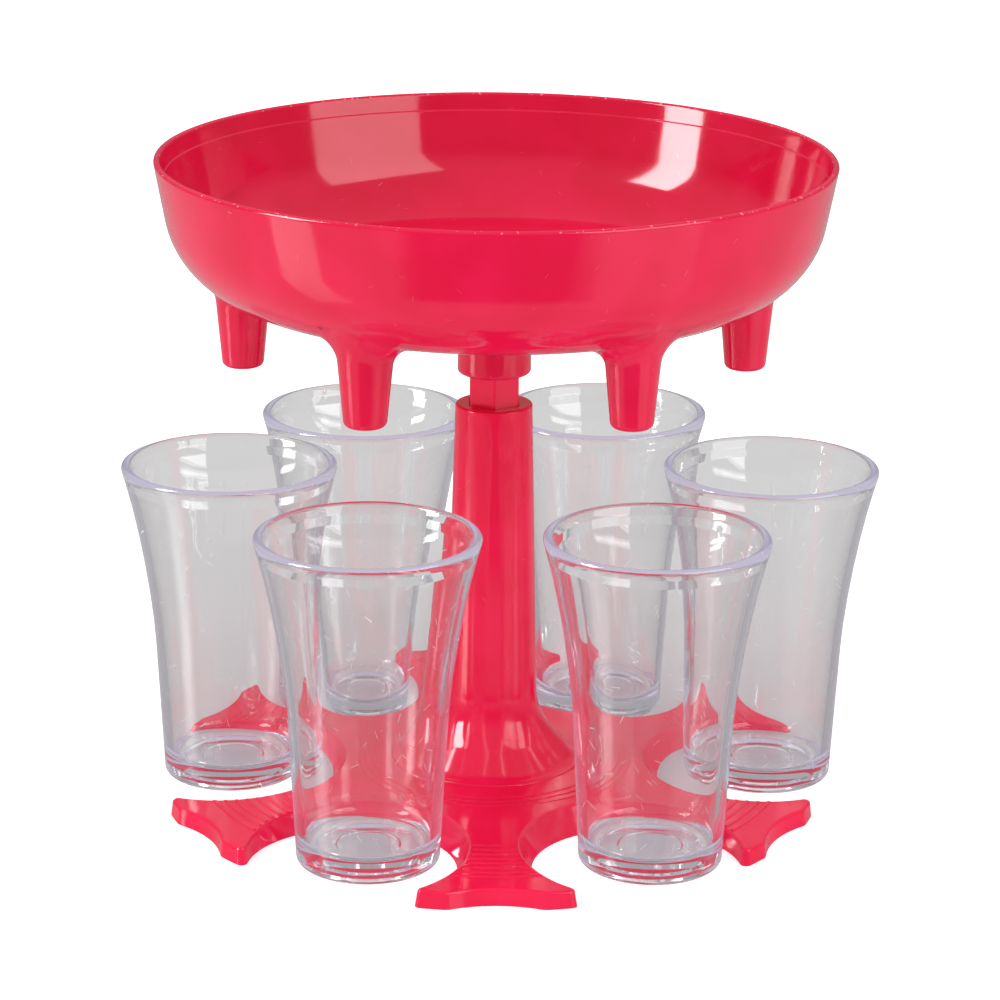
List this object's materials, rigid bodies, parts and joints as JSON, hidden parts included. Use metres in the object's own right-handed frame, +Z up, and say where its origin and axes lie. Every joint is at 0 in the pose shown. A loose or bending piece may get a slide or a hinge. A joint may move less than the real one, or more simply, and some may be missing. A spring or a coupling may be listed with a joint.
{
  "type": "party shot dispenser",
  "caption": "Round bowl with a ring of nozzles, on a hexagonal rod in a tapered column, over a notched star-shaped plate with a clear flared shot glass in each notch.",
  "frame": {"origin": "on the column's axis, in the plane that the plate and the glasses stand on", "axes": "+Z up along the column; -Y towards the front, along one arm of the plate; +X to the right seen from the front"},
  "size_m": [0.1889, 0.1657, 0.161],
  "materials": {
    "red_plastic": "glossy moulded, light scratches",
    "clear_plastic": "clear, polished",
    "screw_steel": "zinc-plated"
  },
  "bodies": {
    "stand": {"base_plate": "red_plastic", "column": "red_plastic", "base_screws": "screw_steel"},
    "bowl": {"dispenser_bowl": "red_plastic", "hex_rod": "red_plastic"},
    "glass_front_left": {"shot_glass_front_left": "clear_plastic"},
    "glass_front_right": {"shot_glass_front_right": "clear_plastic"},
    "glass_left": {"shot_glass_left": "clear_plastic"},
    "glass_right": {"shot_glass_right": "clear_plastic"},
    "glass_rear_left": {"shot_glass_rear_left": "clear_plastic"},
    "glass_rear_right": {"shot_glass_rear_right": "clear_plastic"}
  },
  "joints": [
    {"name": "bowl_lift", "type": "slide", "parent": "stand", "child": "bowl", "axis": [0, 0, 1], "range_m": [0, 0.065]},
    {"name": "glass_front_left_out", "type": "slide", "parent": "stand", "child": "glass_front_left", "axis": [-0.482, -0.8511, 0.2079], "range_m": [0, 0.075]},
    {"name": "glass_front_right_out", "type": "slide", "parent": "stand", "child": "glass_front_right", "axis": [0.364, -0.9079, 0.2079], "range_m": [0, 0.075]},
    {"name": "glass_left_out", "type": "slide", "parent": "stand", "child": "glass_left", "axis": [-0.9665, -0.1503, 0.2079], "range_m": [0, 0.075]},
    {"name": "glass_right_out", "type": "slide", "parent": "stand", "child": "glass_right", "axis": [0.9677, -0.1426, 0.2079], "range_m": [0, 0.075]},
    {"name": "glass_rear_left_out", "type": "slide", "parent": "stand", "child": "glass_rear_left", "axis": [-0.4786, 0.853, 0.2079], "range_m": [0, 0.075]},
    {"name": "glass_rear_right_out", "type": "slide", "parent": "stand", "child": "glass_rear_right", "axis": [0.5295, 0.8224, 0.2079], "range_m": [0, 0.075]}
  ]
}
